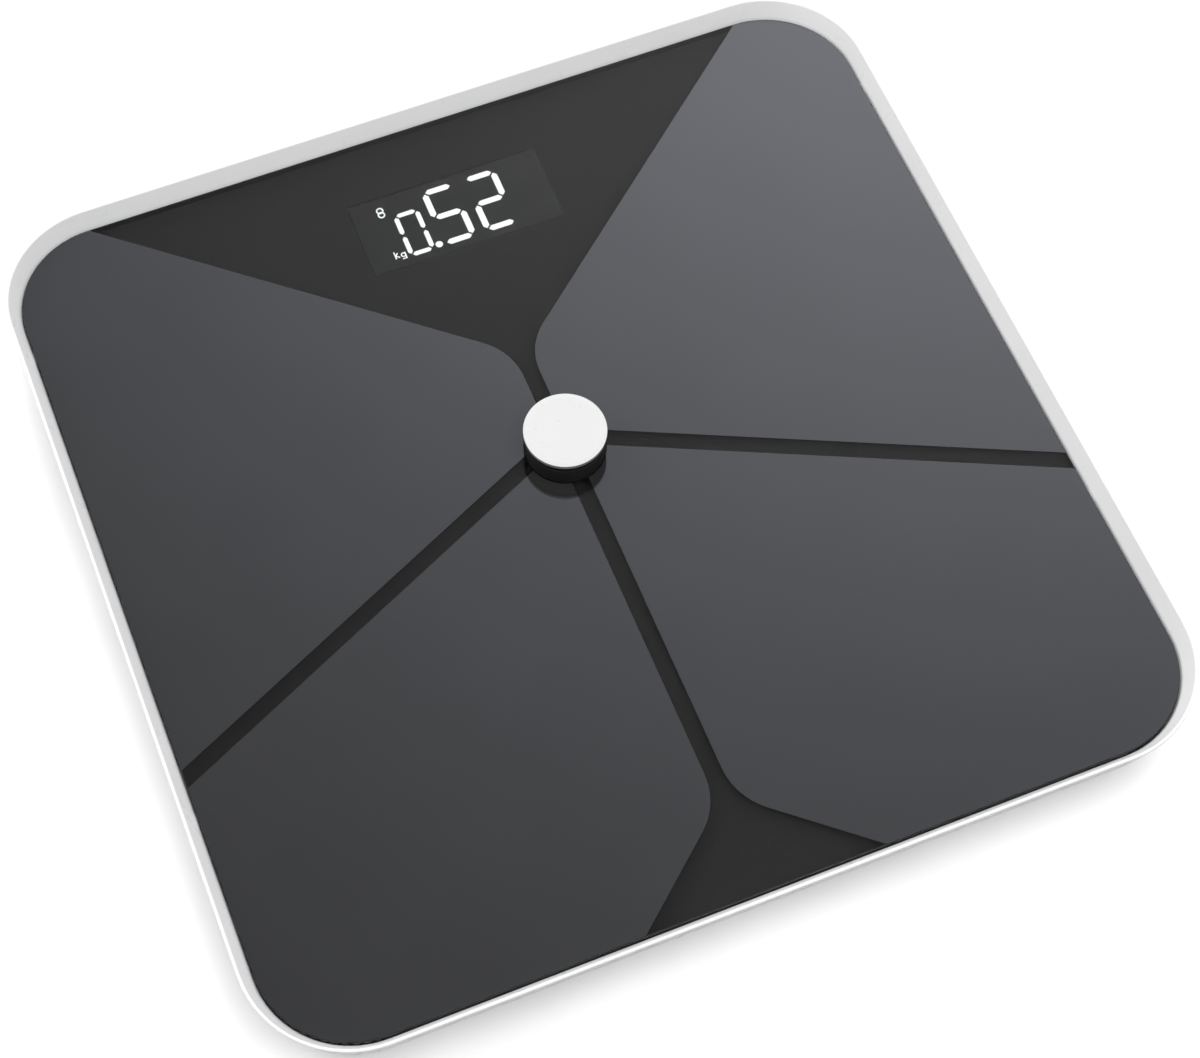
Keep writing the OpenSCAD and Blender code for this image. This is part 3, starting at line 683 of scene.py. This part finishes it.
def world():
    """Dark ceiling with one broad soft glow behind on the right, and a horizon brightest at the back."""
    studio = bpy.data.worlds.new("studio")
    studio.use_nodes = True
    tree = studio.node_tree

    def maths(operation, *values):
        made = tree.nodes.new("ShaderNodeMath")
        made.operation = operation
        for socket, value in zip(made.inputs, values):
            if isinstance(value, bpy.types.NodeSocket):
                tree.links.new(value, socket)
            else:
                socket.default_value = value
        return made.outputs[0]

    def ramp(value, start, end, low, high):
        made = tree.nodes.new("ShaderNodeMapRange")
        made.interpolation_type = "SMOOTHSTEP"
        for name, number in {"From Min": start, "From Max": end, "To Min": low, "To Max": high}.items():
            made.inputs[name].default_value = number
        tree.links.new(value, made.inputs["Value"])
        return made.outputs[0]

    ray = tree.nodes.new("ShaderNodeTexCoord").outputs["Generated"]
    ray_parts = tree.nodes.new("ShaderNodeSeparateXYZ")
    tree.links.new(ray, ray_parts.inputs[0])
    towards = tree.nodes.new("ShaderNodeVectorMath")
    towards.operation = "DOT_PRODUCT"
    tree.links.new(ray, towards.inputs[0])
    glow_azimuth, glow_elevation, glow_peak, glow_tightness = 143.7, 38.6, 1.08, 15.2
    ceiling, horizon_peak = 0.055, 1.3
    towards.inputs[1].default_value = direction(glow_azimuth, glow_elevation)
    off_axis = maths("SUBTRACT", towards.outputs["Value"], 1)
    glow = maths("MULTIPLY", maths("EXPONENT", maths("MULTIPLY", off_axis, glow_tightness)), glow_peak)
    # The horizon fades overhead, towards the front and below the floor
    horizon = ramp(ray_parts.outputs["Z"], 0.15, 0.7, horizon_peak, 0)
    backness = ramp(ray_parts.outputs["Y"], -0.6, 0.4, 0.4, 1)
    aboveness = ramp(ray_parts.outputs["Z"], -0.25, 0.05, 0.3, 1)
    band = maths("MULTIPLY", maths("MULTIPLY", horizon, backness), aboveness)
    background = tree.nodes["Background"]
    background.inputs["Color"].default_value = (1, 1, 1, 1)
    tree.links.new(maths("ADD", maths("ADD", glow, ceiling), band), background.inputs["Strength"])
    bpy.context.scene.world = studio


def softbox(name, azimuth, elevation, distance, size, power):
    """Square soft light that faces the middle of the scale and is not mirrored in its glass."""
    data = bpy.data.lights.new(name, "AREA")
    data.shape = "SQUARE"
    data.size = size
    data.energy = power
    light = bpy.data.objects.new(name, data)
    light.visible_glossy = False
    bpy.context.scene.collection.objects.link(light)
    towards = direction(azimuth, elevation)
    light.location = towards * distance
    light.rotation_mode = "QUATERNION"
    light.rotation_quaternion = (-towards).to_track_quat("-Z", "Y")


def floor():
    """Pale floor, large enough to meet the bright horizon; it casts no light back up on the rim."""
    paint = moulded("floor", (0.96, 0.96, 0.96), 0.6, 3 * MM, 0.01 * MM)
    half, below = 8.0, -0.05 * MM
    mesh = bpy.data.meshes.new("floor")
    corners = [(-half, -half, below), (half, -half, below), (half, half, below), (-half, half, below)]
    mesh.from_pydata(corners, [], [(0, 1, 2, 3)])
    ground = bpy.data.objects.new("floor", mesh)
    ground.data.materials.append(paint.material)
    bpy.context.scene.collection.objects.link(ground)
    ground.visible_diffuse = False


def camera():
    """Camera at the front left, looking down on the platform."""
    aim = Vector((-11.7 * MM, -13.6 * MM, GLASS_HIGH.z))
    back = direction(-21.63, 62.5)
    distance = 0.7316
    data = bpy.data.cameras.new("camera")
    data.lens = 76.1
    data.shift_x = 0.0342
    view = bpy.data.objects.new("camera", data)
    bpy.context.scene.collection.objects.link(view)
    view.location = aim + back * distance
    view.rotation_mode = "QUATERNION"
    view.rotation_quaternion = (-back).to_track_quat("-Z", "Y")
    bpy.context.scene.camera = view


materials = paint_frame()
ink()
window_film()
cap()
collar()
button_spring()
foot_bushes()
batteries()
battery_springs()
wiring()
board_components()
world()
softbox("key", -120, 42, 1.4, 1.0, 11)
softbox("fill", 25, 70, 1.5, 1.0, 23)
softbox("back", 165, 28, 1.5, 0.8, 6)
floor()
camera()
bpy.context.scene.view_settings.view_transform = "Standard"
